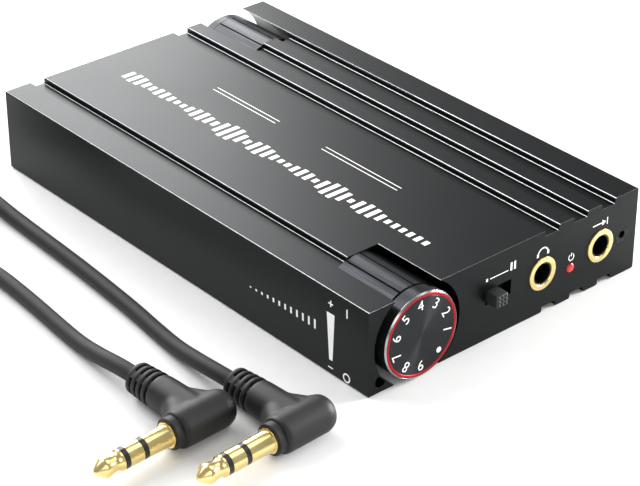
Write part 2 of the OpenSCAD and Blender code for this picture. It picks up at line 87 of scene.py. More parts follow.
coil_points = []
for i in range(int(coil_turns * steps_a_turn) + 1):
    layer, step = divmod(i, steps_a_turn)
    r, z = coil_layers[layer]
    if layer + 1 < len(coil_layers):
        # the last sixth of each turn moves over to the next layer
        share = max(0, step / steps_a_turn * 6 - 5)
        share = share * share * (3 - 2 * share)
        r += share * (coil_layers[layer + 1][0] - r)
        z += share * (coil_layers[layer + 1][1] - z)
    turn = math.pi - 2 * math.pi * i / steps_a_turn
    z += tie_lift * max(0, math.sin(turn)) ** 8
    coil_points.append(
        (coil_centre[0] + r * math.cos(turn), coil_centre[1] + r * math.sin(turn), z)
    )


def linear(hex_code):
    """An sRGB hex colour as linear RGBA."""
    parts = [int(hex_code[i : i + 2], 16) / 255 for i in (1, 3, 5)]
    return [c / 12.92 if c <= 0.04045 else ((c + 0.055) / 1.055) ** 2.4 for c in parts] + [1]


def node(material, kind, inputs=None, ramp=(), **settings):
    """Adds a node. Its settings are properties, its inputs are values or other nodes'
    sockets, and a ramp is the colours of its two stops."""
    made = material.node_tree.nodes.new("ShaderNode" + kind)
    for name, value in settings.items():
        setattr(made, name, value)
    for name, value in (inputs or {}).items():
        if isinstance(value, bpy.types.NodeSocket):
            material.node_tree.links.new(value, made.inputs[name])
        else:
            made.inputs[name].default_value = value
    if ramp:
        for stop, hex_code in zip(made.color_ramp.elements, ramp):
            stop.color = linear(hex_code)
    return made


def empty_material(name):
    material = bpy.data.materials.new(name)
    material.use_nodes = True
    material.node_tree.nodes.clear()
    return material


# Matt flexible PVC: a dark grey skin with a broad soft sheen and a faint, slightly
# wavy surface left by the extruder.
cable_jacket = empty_material("pvc_extruded_matt_black")
place = node(cable_jacket, "TexCoord").outputs["Object"]
waves = node(cable_jacket, "TexNoise", {"Vector": place, "Scale": 700, "Detail": 3})
grain = node(cable_jacket, "TexNoise", {"Vector": place, "Scale": 5000, "Detail": 2})
tone = node(cable_jacket, "ValToRGB", {"Fac": waves.outputs["Fac"]}, ramp=("#1c1c1d", "#28282a"))
bump = node(cable_jacket, "Bump", {"Height": grain.outputs["Fac"], "Strength": 0.35, "Distance": 0.05 * MM})
skin = node(cable_jacket, "BsdfPrincipled", {
    "Base Color": tone.outputs["Color"], "Roughness": 0.62, "Specular IOR Level": 0.3,
    "Normal": bump.outputs["Normal"],
})
node(cable_jacket, "OutputMaterial", {"Surface": skin.outputs["BSDF"]})

cable_curve = bpy.data.curves.new("patch_lead_cable", "CURVE")
cable_curve.dimensions = "3D"
cable_curve.bevel_depth = cable_r * MM
cable_curve.bevel_resolution = 6
cable_curve.resolution_u = 6
cable_curve.use_fill_caps = True
line = [exits["a"], *lead_from_a, *coil_points, *reversed(lead_from_b), exits["b"]]
spline = cable_curve.splines.new("BEZIER")
spline.bezier_points.add(len(line) - 1)
for point, spot in zip(spline.bezier_points, line):
    point.co = Vector(spot) * MM
    point.handle_left_type = point.handle_right_type = "AUTO"
cable = bpy.data.objects.new("patch_lead_cable", cable_curve)
bpy.context.collection.objects.link(cable)
cable_curve.materials.append(cable_jacket)
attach(cable, "patch_lead")
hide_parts("lead_near_plug_a", "lead_coil", "lead_near_plug_b")

# ---------------------------------------------------------------- patch lead: tie
# Hook-and-loop band, 5 mm wide, cut from woven nylon tape. It goes round the coil
# once and laps over itself on top.
band_w = 5
band_t = 0.38
band_side = 2.85
band_corner = 1.3
band_centre = Vector((coil_centre[0], coil_centre[1] + 15.5, 3.2))


def finished(bm, name, material, body, sharp=35):
    """Closes a bmesh into a smooth piece of its own, which rides on a body."""
    mesh = bpy.data.meshes.new(name)
    bmesh.ops.recalc_face_normals(bm, faces=bm.faces)
    bm.to_mesh(mesh)
    bm.free()
    mesh.shade_smooth()
    mesh.set_sharp_from_angle(angle=math.radians(sharp))
    mesh.materials.append(material)
    piece = bpy.data.objects.new(name, mesh)
    bpy.context.collection.objects.link(piece)
    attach(piece, body)
    return piece


# Nylon tape: a dull black pile, with a coarse basket weave of 0.5 mm threads.
hook_and_loop = empty_material("nylon_hook_and_loop_black")
place = node(hook_and_loop, "TexCoord").outputs["Object"]
threads = node(hook_and_loop, "TexVoronoi", {"Vector": place, "Scale": 2000})
fuzz = node(hook_and_loop, "TexNoise", {"Vector": place, "Scale": 9000, "Detail": 4})
pile = node(hook_and_loop, "Math", {0: threads.outputs["Distance"], 1: fuzz.outputs["Fac"]}, operation="ADD")
tone = node(hook_and_loop, "ValToRGB", {"Fac": fuzz.outputs["Fac"]}, ramp=("#0e0e0f", "#2b2b2c"))
bump = node(hook_and_loop, "Bump", {"Height": pile.outputs[0], "Strength": 0.8, "Distance": 0.12 * MM})
cloth = node(hook_and_loop, "BsdfPrincipled", {
    "Base Color": tone.outputs["Color"], "Roughness": 0.9, "Sheen Weight": 0.4,
    "Normal": bump.outputs["Normal"],
})
node(hook_and_loop, "OutputMaterial", {"Surface": cloth.outputs["BSDF"]})

bm = bmesh.new()
row = []
for i in range(92):
    # a rounded square, wound outwards by one thickness a turn, from the inner side
    turn = math.radians(200 + i * 5)
    flat = Vector((0, math.cos(turn), math.sin(turn)))
    power = 1 / max(abs(flat.y), abs(flat.z))
    square = flat * min(power * band_side, band_side + band_corner * 0.55)
    out = band_t * (0.55 + i / 72)
    spot = band_centre + square + flat * out
    spot.z = max(spot.z, 0.22)
    row.append(bm.verts.new((spot - Vector((band_w / 2, 0, 0))) * MM))
edges = [bm.edges.new(pair) for pair in zip(row, row[1:])]
side = bmesh.ops.extrude_edge_only(bm, edges=edges)
far = [v for v in side["geom"] if isinstance(v, bmesh.types.BMVert)]
bmesh.ops.translate(bm, vec=(band_w * MM, 0, 0), verts=far)
bmesh.ops.recalc_face_normals(bm, faces=bm.faces)
bmesh.ops.solidify(bm, geom=bm.faces, thickness=band_t * MM)
tie = finished(bm, "lead_tie_band", hook_and_loop, "patch_lead")
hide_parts("lead_tie")

# ---------------------------------------------------------------- patch lead: plug bodies
# Right-angle body overmoulded in black PVC over the solder joint: a round head with
# a domed end, an arm that flows into it, and a ribbed strain relief that bends with
# the cable. Head and arm are one shot of plastic, so the corner is a soft fillet.
plug_turn = math.radians(2.5)
arm_x = 6.3
arm_l = 14.7
head_r = 3.1
head_l = 12.3
collar_r = 2.6
collar_l = 1.3


def lathe(bm, profile, centre, axis, steps=96):
    """Spins a closed shape from (distance along the axis, radius) pairs round a line."""
    axis = Vector(axis)
    out = axis.orthogonal().normalized()
    row = [bm.verts.new((Vector(centre) + axis * a + out * r) * MM) for a, r in profile]
    edges = [bm.edges.new(pair) for pair in zip(row, row[1:])]
    spun = bmesh.ops.spin(
        bm, geom=row + edges, cent=Vector(centre) * MM, axis=axis, dvec=(0, 0, 0),
        angle=2 * math.pi, steps=steps, use_merge=True,
    )
    bmesh.ops.remove_doubles(bm, verts=bm.verts, dist=0.0005 * MM)
    return spun


# Overmoulded PVC: finer and smoother than the cable, with a satin skin and the
# slight unevenness of a soft moulding.
overmould = empty_material("pvc_moulded_satin_black")
place = node(overmould, "TexCoord").outputs["Object"]
clouds = node(overmould, "TexNoise", {"Vector": place, "Scale": 450, "Detail": 2})
spark = node(overmould, "TexNoise", {"Vector": place, "Scale": 6500, "Detail": 3})
tone = node(overmould, "ValToRGB", {"Fac": clouds.outputs["Fac"]}, ramp=("#101011", "#171718"))
gloss = node(overmould, "MapRange", {"Value": clouds.outputs["Fac"], "To Min": 0.46, "To Max": 0.58})
bump = node(overmould, "Bump", {"Height": spark.outputs["Fac"], "Strength": 0.3, "Distance": 0.04 * MM})
skin = node(overmould, "BsdfPrincipled", {
    "Base Color": tone.outputs["Color"], "Roughness": gloss.outputs["Result"], "Specular IOR Level": 0.4,
    "Normal": bump.outputs["Normal"],
})
node(overmould, "OutputMaterial", {"Surface": skin.outputs["BSDF"]})

# head and arm, each closed, then melted into one skin
bm = bmesh.new()
pin_line = (-arm_x, -arm_l, 0)
lathe(bm, [
    (-collar_l, 0), (-collar_l, head_r - 0.45), (-collar_l - 0.12, head_r - 0.15),
    (-collar_l - 0.45, head_r),
    (-head_l + 2.2, head_r + 0.02), (-head_l + 1.1, head_r - 0.35), (-head_l + 0.4, head_r - 1.1),
    (-head_l + 0.05, head_r - 2.1), (-head_l, 0),
], pin_line, (-1, 0, 0))
lathe(bm, [
    (4.9, 0), (4.9, 2.5), (5.05, 2.8), (5.35, 2.95), (8, 3), (arm_l, 3), (arm_l, 0),
], (0, 0, 0), (0, -1, 0))
# two short slanting rods fill the inner corners, for the fillets
for lean in (-1, 1):
    lathe(bm, [
        (0, 0), (0, 2.35), (0.3, 2.65), (4.6, 2.65), (4.6, 0),
    ], (0.2 * lean, -9.6, 0), Vector((0.62 * lean, -1, 0)).normalized(), 48)
bmesh.ops.recalc_face_normals(bm, faces=bm.faces)
mesh = bpy.data.meshes.new("plug_blank")
bm.to_mesh(mesh)
bm.free()
blank = bpy.data.objects.new("plug_blank", mesh)
bpy.context.collection.objects.link(blank)
melt = blank.modifiers.new("melt", "REMESH")
melt.mode = "VOXEL"
melt.voxel_size = 0.17 * MM
ease = blank.modifiers.new("ease", "SMOOTH")
ease.factor = 0.5
ease.iterations = 30
seen = blank.evaluated_get(bpy.context.evaluated_depsgraph_get())
melted = bpy.data.meshes.new_from_object(seen)
bpy.data.objects.remove(blank)

for letter, spot in exits.items():
    bm = bmesh.new()
    bm.from_mesh(melted)
    # the step behind the contacts
    lathe(bm, [
        (0, 0), (0, collar_r - 0.12), (-0.12, collar_r), (-collar_l - 0.3, collar_r), (-collar_l - 0.3, 0),
    ], pin_line, (-1, 0, 0))
    # strain relief: a thin core, four ribs, and the webs that join them
    lathe(bm, [(0.05, 0), (0.05, 2.05), (0.2, 2.15), (5.2, 2.2), (5.2, 0)], (0, 0, 0), (0, -1, 0))
    for i in range(4):
        r = 2.66 + 0.08 * i
        near = 0.02 + 1.3 * i
        lathe(bm, [
            (near, 0), (near, r - 0.16), (near + 0.05, r - 0.05), (near + 0.16, r), (near + 0.62, r),
            (near + 0.73, r - 0.05), (near + 0.78, r - 0.16), (near + 0.78, 0),
        ], (0, 0, 0), (0, -1, 0))
    for angle in (-40, 140):
        web = bmesh.ops.create_cube(bm, size=1)["verts"]
        bmesh.ops.scale(bm, vec=(1.2 * MM, 5 * MM, 1.15 * MM), verts=web)
        bmesh.ops.translate(bm, vec=(0, -2.55 * MM, 2.02 * MM), verts=web)
        turned = Matrix.Rotation(math.radians(angle), 3, "Y")
        bmesh.ops.rotate(bm, cent=(0, 0, 0), matrix=turned, verts=web)
    bm.transform(Matrix.Translation(Vector(spot) * MM) @ Matrix.Rotation(plug_turn, 4, "Z"))
    body = finished(bm, f"plug_{letter}_body", overmould, "patch_lead", sharp=42)
    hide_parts(f"plug_{letter}_mould")

# ---------------------------------------------------------------- patch lead: contacts
# Three-pole 3.5 mm pin, turned from brass and gold plated: sleeve with its flange,
# ring, and tip with the groove that the jack's spring drops into. Two rings of
# black acetal keep them apart.
pin_r = 1.75
sleeve_l = 4.8
gap_l = 0.9
ring_end = 8.3
tip_start = ring_end + gap_l
pin_l = 14

# Hard gold over brass: pale yellow and bright, with faint marks of the lathe that
# soften its shine in places.
gold = empty_material("gold_plated_turned_brass")
place = node(gold, "TexCoord").outputs["Object"]
turning = node(gold, "Mapping", {"Vector": place, "Scale": (9000, 400, 400)})
marks = node(gold, "TexNoise", {"Vector": turning.outputs["Vector"], "Scale": 1, "Detail": 2})
smear = node(gold, "TexNoise", {"Vector": place, "Scale": 900, "Detail": 2})
gloss = node(gold, "Math", {0: marks.outputs["Fac"], 1: smear.outputs["Fac"]}, operation="ADD")
gloss = node(gold, "MapRange", {"Value": gloss.outputs[0], "From Max": 2, "To Min": 0.16, "To Max": 0.3})
tone = node(gold, "ValToRGB", {"Fac": smear.outputs["Fac"]}, ramp=("#e9cf87", "#f0dc9e"))
metal = node(gold, "BsdfPrincipled", {
    "Base Color": tone.outputs["Color"], "Metallic": 1, "Roughness": gloss.outputs["Result"],
})
node(gold, "OutputMaterial", {"Surface": metal.outputs["BSDF"]})

# Acetal: jet black and slightly glossy where it was turned flush with the metal.
acetal = empty_material("acetal_turned_black")
place = node(acetal, "TexCoord").outputs["Object"]
marks = node(acetal, "TexNoise", {"Vector": place, "Scale": 4000, "Detail": 2})
gloss = node(acetal, "MapRange", {"Value": marks.outputs["Fac"], "To Min": 0.25, "To Max": 0.4})
plastic = node(acetal, "BsdfPrincipled", {
    "Base Color": linear("#0c0c0d"), "Roughness": gloss.outputs["Result"], "IOR": 1.48,
})
node(acetal, "OutputMaterial", {"Surface": plastic.outputs["BSDF"]})

contact_shapes = {
    "sleeve": [[
        (0, 0), (0, 2.02), (0.06, 2.1), (0.3, 2.1), (0.36, 2.04), (0.36, pin_r + 0.02),
        (0.42, pin_r),
        (sleeve_l - 0.04, pin_r), (sleeve_l, pin_r - 0.04), (sleeve_l, 0)]],
    "ring": [[
        (sleeve_l + gap_l, 0), (sleeve_l + gap_l, pin_r - 0.04), (sleeve_l + gap_l + 0.04, pin_r),
        (ring_end - 0.04, pin_r), (ring_end, pin_r - 0.04), (ring_end, 0)]],
    "tip": [[
        (tip_start, 0), (tip_start, pin_r - 0.04), (tip_start + 0.04, pin_r), (tip_start + 0.35, pin_r),
        (tip_start + 0.6, 1.52), (tip_start + 0.85, 1.4), (tip_start + 1.1, 1.36),
        (tip_start + 1.4, 1.38), (tip_start + 2, 1.5), (tip_start + 2.5, 1.62),
        (tip_start + 2.85, 1.66), (pin_l - 1.75, 1.64), (pin_l - 1.55, 1.52), (pin_l - 0.25, 0.5),
        (pin_l - 0.08, 0.28), (pin_l, 0)]],
    "insulators": [
        [(x, 0), (x, pin_r - 0.03), (x + gap_l, pin_r - 0.03), (x + gap_l, 0)]
        for x in (sleeve_l, ring_end)],
}
for letter, spot in exits.items():
    for part, shapes in contact_shapes.items():
        bm = bmesh.new()
        for shape in shapes:
            lathe(bm, shape, pin_line, (-1, 0, 0))
        bm.transform(Matrix.Translation(Vector(spot) * MM) @ Matrix.Rotation(plug_turn, 4, "Z"))
        is_gap = part == "insulators"
        contact = finished(bm, f"plug_{letter}_{part}_turned", acetal if is_gap else gold, "patch_lead")
        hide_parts(f"plug_{letter}_{part}")

# ---------------------------------------------------------------- case
# One length of extruded aluminium with milled corner pockets, and an end plate at
# each end with the same outline. All of it is bead blasted and anodised satin
# black. The grooves' top edges are cut bright afterwards and lacquered. The bright
# lines at the foot of the groove walls, along the end plates' top edges and round
# the pocket lips are painted highlights.
case_size = Vector(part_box("shell")[1]) - Vector(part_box("shell")[0])
plate_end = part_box("rear_plate")[1][1]
groove_d = 1 * MM
bright_line_w = 0.055 * MM
slope_45 = 0.493
# the pockets are milled round the wheel's own axis, as far in as the barrel goes
pocket_spot = frame["record"]["behaviour"]["joints"][0]["pos_m"]
pocket_r = 9 * MM
pocket_from = -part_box("volume_barrel")[1][1]

# Satin black anodising: near black, with the broad grey sheen of blasted metal and
# a very fine sparkle. Blasting grit is about 0.1 mm; it is drawn at 0.25 mm so that
# it shows at all.
case_black = empty_material("aluminium_blasted_anodised_black")
place = node(case_black, "TexCoord").outputs["Object"]
grit = node(case_black, "TexNoise", {"Vector": place, "Scale": 4000, "Detail": 3, "Roughness": 0.6})
clouds = node(case_black, "TexNoise", {"Vector": place, "Scale": 60, "Detail": 2})
tone = node(case_black, "ValToRGB", {"Fac": grit.outputs["Fac"]}, ramp=("#121415", "#1b1d1e"))
tone.color_ramp.elements[0].position = 0.3
tone.color_ramp.elements[1].position = 0.7
gloss = node(case_black, "MapRange", {"Value": clouds.outputs["Fac"], "To Min": 0.31, "To Max": 0.36})
bump = node(case_black, "Bump", {"Height": grit.outputs["Fac"], "Strength": 0.12, "Distance": 0.02 * MM})
satin = node(case_black, "BsdfPrincipled", {
    "Base Color": tone.outputs["Color"], "Metallic": 0.85, "Roughness": gloss.outputs["Result"],
    "Normal": bump.outputs["Normal"],
})
# Bright lines: bare bright metal on the faces that slope at 45 degrees across the
# case, but not on the round walls of the pockets. At the groove tops this is the
# cut chamfer. At the foot of the groove walls it is a painted highlight, and so are
# the lines along the outer top edge of each end plate and the top edges of the pockets.
facing = node(case_black, "SeparateXYZ", {0: node(case_black, "NewGeometry").outputs["True Normal"]})
slope = node(case_black, "Math", {0: facing.outputs["X"], 1: facing.outputs["Z"]}, operation="MULTIPLY")
slope = node(case_black, "Math", {0: slope.outputs[0]}, operation="ABSOLUTE")
sloping = node(case_black, "Math", {0: slope.outputs[0], 1: slope_45}, operation="GREATER_THAN")
spot = node(case_black, "SeparateXYZ", {0: place})
end = node(case_black, "Math", {0: spot.outputs["Y"]}, operation="SIGN")
axis_x = node(case_black, "Math", {0: end.outputs[0], 1: -pocket_spot[0]}, operation="MULTIPLY")
across = node(case_black, "Math", {0: spot.outputs["X"], 1: axis_x.outputs[0]}, operation="SUBTRACT")
above = node(case_black, "Math", {0: spot.outputs["Z"], 1: pocket_spot[2]}, operation="SUBTRACT")
flat = node(case_black, "CombineXYZ", {"X": across.outputs[0], "Y": above.outputs[0]})
reach = node(case_black, "VectorMath", {0: flat.outputs[0]}, operation="LENGTH")
off_wall = node(case_black, "Math", {0: reach.outputs["Value"], 1: pocket_r}, operation="SUBTRACT")
off_wall = node(case_black, "Math", {0: off_wall.outputs[0]}, operation="ABSOLUTE")
off_wall = node(case_black, "Math", {0: off_wall.outputs[0], 1: 0.06 * MM}, operation="GREATER_THAN")
cut_and_highlight_mask = node(case_black, "Math", {0: sloping.outputs[0], 1: off_wall.outputs[0]}, operation="MULTIPLY")
level = node(case_black, "Math", {0: above.outputs[0]}, operation="ABSOLUTE")
half = case_size.z / 2
bands = []
# the band at the top edge is the cut chamfer; the band a groove's depth lower is a painted highlight at the
# foot of the walls
for edge, width in ((half, bright_line_w), (half - groove_d, 0.7 * bright_line_w)):
    gap = node(case_black, "Math", {0: level.outputs[0], 1: edge}, operation="SUBTRACT")
    gap = node(case_black, "Math", {0: gap.outputs[0]}, operation="ABSOLUTE")
    near = node(case_black, "Math", {0: gap.outputs[0], 1: width}, operation="LESS_THAN")
    bands.append(near.outputs[0])
in_band = node(case_black, "Math", {0: bands[0], 1: bands[1]}, operation="MAXIMUM")
cut_and_highlight_mask = node(case_black, "Math", {0: cut_and_highlight_mask.outputs[0], 1: in_band.outputs[0]}, operation="MULTIPLY")
# painted highlight: a bright line along the outer top edge of each end plate
length = node(case_black, "Math", {0: spot.outputs["Y"]}, operation="ABSOLUTE")
edge_from = plate_end - bright_line_w * 0.6
at_end = node(case_black, "Math", {0: length.outputs[0], 1: edge_from}, operation="GREATER_THAN")
on_top = node(case_black, "Math", {0: facing.outputs["Z"], 1: 0.9}, operation="GREATER_THAN")
end_line = node(case_black, "Math", {0: at_end.outputs[0], 1: on_top.outputs[0]}, operation="MULTIPLY")
cut_and_highlight_mask = node(case_black, "Math", {0: cut_and_highlight_mask.outputs[0], 1: end_line.outputs[0]}, operation="MAXIMUM")
# painted highlight: a bright line round the top edges of the pockets
by_wall = node(case_black, "Math", {0: 1, 1: off_wall.outputs[0]}, operation="SUBTRACT")
at_lip = node(case_black, "Math", {0: by_wall.outputs[0], 1: on_top.outputs[0]}, operation="MULTIPLY")
in_pocket = node(case_black, "Math", {0: length.outputs[0], 1: pocket_from}, operation="GREATER_THAN")
at_lip = node(case_black, "Math", {0: at_lip.outputs[0], 1: in_pocket.outputs[0]}, operation="MULTIPLY")
cut_and_highlight_mask = node(case_black, "Math", {0: cut_and_highlight_mask.outputs[0], 1: at_lip.outputs[0]}, operation="MAXIMUM")
# the metal of the cut chamfers, also used for the painted highlight lines
bright = node(case_black, "BsdfPrincipled", {
    "Base Color": linear("#d4d6d8"), "Metallic": 1, "Roughness": 0.35,
})
mixed = node(case_black, "MixShader", {
    0: cut_and_highlight_mask.outputs[0], 1: satin.outputs["BSDF"], 2: bright.outputs["BSDF"],
})
node(case_black, "OutputMaterial", {"Surface": mixed.outputs["Shader"]})


def coat(name, material):
    """Gives a CAD node its finish."""
    made = frame["nodes"][name]
    if not made.material_slots:
        made.data.materials.append(material)
    for slot in made.material_slots:
        slot.link = "OBJECT"
        slot.material = material


for name in ("shell", "front_plate", "rear_plate"):
    coat(name, case_black)

# ---------------------------------------------------------------- plate screws
# M1.6 socket-head screws of black oxide steel, sunk flush into each end plate.
# Oiled black oxide: dark and half glossy, a little worn round the socket.
black_oxide = empty_material("steel_black_oxide")
place = node(black_oxide, "TexCoord").outputs["Object"]
wear = node(black_oxide, "TexNoise", {"Vector": place, "Scale": 2500, "Detail": 3})
tone = node(black_oxide, "ValToRGB", {"Fac": wear.outputs["Fac"]}, ramp=("#141516", "#4a4b4d"))
tone.color_ramp.elements[0].position = 0.45
tone.color_ramp.elements[1].position = 0.8
steel = node(black_oxide, "BsdfPrincipled", {
    "Base Color": tone.outputs["Color"], "Metallic": 0.9, "Roughness": 0.33,
})
node(black_oxide, "OutputMaterial", {"Surface": steel.outputs["BSDF"]})
coat("plate_screws", black_oxide)

# ---------------------------------------------------------------- corner barrels
# Two hollow turned barrels stand in the milled corners, one behind the volume wheel
# and its twin at the rear. Each has two fine seams along the top. The rear one is
# closed by a turned lid.
barrel_axis = Vector((-pocket_spot[0], 0, pocket_spot[2])) / MM
barrel_r = 7.6
barrel_ends = (34.4, 47)
rim = 0.25
seam_angles = (-16.5, 6.5)
seam_d = 0.35
barrel_steps = 288
lid_end = 49

# Brushed black anodising: fine lines along the barrel, about 0.1 mm apart on the
# real one and drawn at 0.2 mm, which streak its reflections.
barrel_black = empty_material("aluminium_brushed_anodised_black")
place = node(barrel_black, "TexCoord").outputs["Object"]
along = node(barrel_black, "Mapping", {"Vector": place, "Scale": (5000, 120, 5000)})
lines = node(barrel_black, "TexNoise", {"Vector": along.outputs["Vector"], "Scale": 1, "Detail": 3})
tone = node(barrel_black, "ValToRGB", {"Fac": lines.outputs["Fac"]}, ramp=("#26282a", "#3a3c3f"))
tone.color_ramp.elements[0].position = 0.35
tone.color_ramp.elements[1].position = 0.65
bump = node(barrel_black, "Bump", {"Height": lines.outputs["Fac"], "Strength": 0.25, "Distance": 0.02 * MM})
satin = node(barrel_black, "BsdfPrincipled", {
    "Base Color": tone.outputs["Color"], "Metallic": 0.9, "Roughness": 0.3, "Normal": bump.outputs["Normal"],
})
node(barrel_black, "OutputMaterial", {"Surface": satin.outputs["BSDF"]})

for name, x, front, back, stands_for in (
    ("front_barrel_seamed", -barrel_axis.x, -barrel_ends[1], -barrel_ends[0], "volume_barrel"),
    ("rear_barrel_seamed", barrel_axis.x, barrel_ends[0], barrel_ends[1], "rear_barrel"),
):
    bm = bmesh.new()
    disc = bmesh.ops.create_circle(bm, cap_ends=True, radius=barrel_r * MM, segments=barrel_steps)
    # the seams are notches one step wide to each side of their line
    for vert in disc["verts"]:
        lean = math.degrees(math.atan2(vert.co.x, vert.co.y))
        if min(abs(lean - a) for a in seam_angles) < 180 / barrel_steps:
            vert.co *= 1 - seam_d / barrel_r
    turned = Matrix.Rotation(math.radians(90), 3, "X")
    bmesh.ops.rotate(bm, cent=(0, 0, 0), matrix=turned, verts=bm.verts)
    bmesh.ops.translate(bm, vec=(x * MM, front * MM, barrel_axis.z * MM), verts=bm.verts)
    grown = bmesh.ops.extrude_face_region(bm, geom=bm.faces[:], use_keep_orig=True)
    far = [v for v in grown["geom"] if isinstance(v, bmesh.types.BMVert)]
    bmesh.ops.translate(bm, vec=(0, (back - front) * MM, 0), verts=far)
    barrel = finished(bm, name, barrel_black, "case", sharp=30)
    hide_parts(stands_for)

bm = bmesh.new()
lathe(bm, [
    (barrel_ends[1], 0), (barrel_ends[1], barrel_r - 0.15), (barrel_ends[1] + 0.12, barrel_r),
    (lid_end - rim, barrel_r), (lid_end, barrel_r - rim), (lid_end, barrel_r - 0.9),
    (lid_end - 0.15, barrel_r - 1.05), (lid_end - 0.15, 0),
], (barrel_axis.x, 0, barrel_axis.z), (0, 1, 0), steps=192)
lid = finished(bm, "rear_barrel_lid", barrel_black, "case")
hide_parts("rear_barrel_cap")

# ---------------------------------------------------------------- volume wheel
# Turned from aluminium bar on a fast lathe and anodised black: fine rings on its
# face catch the light in a fan. Its rim is cut bright last of all.
wheel_front = -50
wheel_back = -47.3
wheel_r = 7.6
ring_outer = 7.34
ring_inner = 6.85
wheel_axis = (-barrel_axis.x, 0, barrel_axis.z)

# Turned and black anodised: rings 0.15 mm apart, which stretch each highlight into
# a fan from the centre.
wheel_black = empty_material("aluminium_turned_anodised_black")
place = node(wheel_black, "TexCoord").outputs["Object"]
centred = node(wheel_black, "VectorMath", {0: place, 1: Vector(wheel_axis) * MM}, operation="SUBTRACT")
parts = node(wheel_black, "SeparateXYZ", {0: centred.outputs[0]})
flat = node(wheel_black, "CombineXYZ", {"X": parts.outputs["X"], "Y": parts.outputs["Z"]})
radius = node(wheel_black, "VectorMath", {0: flat.outputs[0]}, operation="LENGTH")
path = node(wheel_black, "Math", {0: radius.outputs["Value"], 1: parts.outputs["Y"]}, operation="ADD")
tool = node(wheel_black, "TexNoise", {
    "W": path.outputs[0], "Scale": 14000, "Detail": 2,
}, noise_dimensions="1D")
tone = node(wheel_black, "ValToRGB", {"Fac": tool.outputs["Fac"]}, ramp=("#232426", "#3c3d40"))
tone.color_ramp.elements[0].position = 0.35
tone.color_ramp.elements[1].position = 0.65
bump = node(wheel_black, "Bump", {"Height": tool.outputs["Fac"], "Strength": 0.25, "Distance": 0.015 * MM})
round_about = node(wheel_black, "Tangent", direction_type="RADIAL", axis="Y")
satin = node(wheel_black, "BsdfPrincipled", {
    "Base Color": tone.outputs["Color"], "Metallic": 0.95, "Roughness": 0.36,
    "Anisotropic": 0.85, "Anisotropic Rotation": 0.25, "Tangent": round_about.outputs[0],
    "Normal": bump.outputs["Normal"],
})
node(wheel_black, "OutputMaterial", {"Surface": satin.outputs["BSDF"]})

bm = bmesh.new()
lathe(bm, [
    (wheel_front, 0), (wheel_front, ring_inner - 0.06), (wheel_front + 0.05, ring_inner),
    (wheel_front + 0.3, ring_inner), (wheel_front + 0.3, ring_outer + 0.02),
    (wheel_front + 0.34, wheel_r),
    (wheel_back - 0.12, wheel_r), (wheel_back, wheel_r - 0.12), (wheel_back, 0),
], wheel_axis, (0, 1, 0), steps=192)
wheel = finished(bm, "volume_wheel_turned", wheel_black, "volume", sharp=25)
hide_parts("volume_wheel")

# ---------------------------------------------------------------- wheel's rim and ring
# The rim's chamfer is cut with a diamond after anodising, so it is bare and bright,
# a little greyer than a mirror. The red anodised ring is pressed into a groove just inside it.
bright_cut = empty_material("aluminium_diamond_cut")
place = node(bright_cut, "TexCoord").outputs["Object"]
smear = node(bright_cut, "TexNoise", {"Vector": place, "Scale": 1500, "Detail": 2})
gloss = node(bright_cut, "MapRange", {"Value": smear.outputs["Fac"], "To Min": 0.16, "To Max": 0.26})
metal = node(bright_cut, "BsdfPrincipled", {
    "Base Color": linear("#a4a6a8"), "Metallic": 1, "Roughness": gloss.outputs["Result"],
})
node(bright_cut, "OutputMaterial", {"Surface": metal.outputs["BSDF"]})
bm = bmesh.new()
lathe(bm, [
    (wheel_front + 0.3, ring_outer + 0.02), (wheel_front + 0.02, ring_outer + 0.02),
    (wheel_front, ring_outer + 0.05), (wheel_front + 0.27, wheel_r - 0.01),
    (wheel_front + 0.34, wheel_r - 0.01), (wheel_front + 0.3, ring_outer + 0.02),
], wheel_axis, (0, 1, 0), steps=192)
rim_piece = finished(bm, "wheel_rim_cut", bright_cut, "volume", sharp=25)

# Red anodising: clear dyed oxide over bright metal, so it glows rather than shines.
ring_red = empty_material("aluminium_anodised_red")
place = node(ring_red, "TexCoord").outputs["Object"]
clouds = node(ring_red, "TexNoise", {"Vector": place, "Scale": 1200, "Detail": 2})
tone = node(ring_red, "ValToRGB", {"Fac": clouds.outputs["Fac"]}, ramp=("#9c0a18", "#ae1420"))
metal = node(ring_red, "BsdfPrincipled", {
    "Base Color": tone.outputs["Color"], "Metallic": 0.7, "Roughness": 0.4,
})
node(ring_red, "OutputMaterial", {"Surface": metal.outputs["BSDF"]})
bm = bmesh.new()
lathe(bm, [
    (wheel_front + 0.3, ring_inner + 0.01), (wheel_front + 0.04, ring_inner + 0.01),
    (wheel_front - 0.02, ring_inner + 0.08), (wheel_front - 0.02, ring_outer - 0.06),
    (wheel_front + 0.04, ring_outer), (wheel_front + 0.3, ring_outer),
    (wheel_front + 0.3, ring_inner + 0.01),
], wheel_axis, (0, 1, 0), steps=192)
red_ring = finished(bm, "wheel_ring_red", ring_red, "volume", sharp=25)
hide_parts("wheel_ring")

# ---------------------------------------------------------------- wheel's figures
# The scale, 1 to 9, is pad printed round the face in white, its figures standing
# outwards, and a dot marks off.
figure_r = 5.62
figure_h = 1.9
first_figure = -11
figure_step = 35
font_size = 1.37 * figure_h
dot_angle = -48.5
dot_r = 0.5
print_t = 0.02

# Pad-printing ink: opaque warm white, a little uneven in its cover, with a faint painted glow: it gives off a
# little light of its own.
white_ink_painted_glow = empty_material("ink_pad_printed_white_painted_glow")
place = node(white_ink_painted_glow, "TexCoord").outputs["Object"]
cover = node(white_ink_painted_glow, "TexNoise", {"Vector": place, "Scale": 3000, "Detail": 2})
tone = node(white_ink_painted_glow, "ValToRGB", {"Fac": cover.outputs["Fac"]}, ramp=("#e8e8e6", "#fafaf8"))
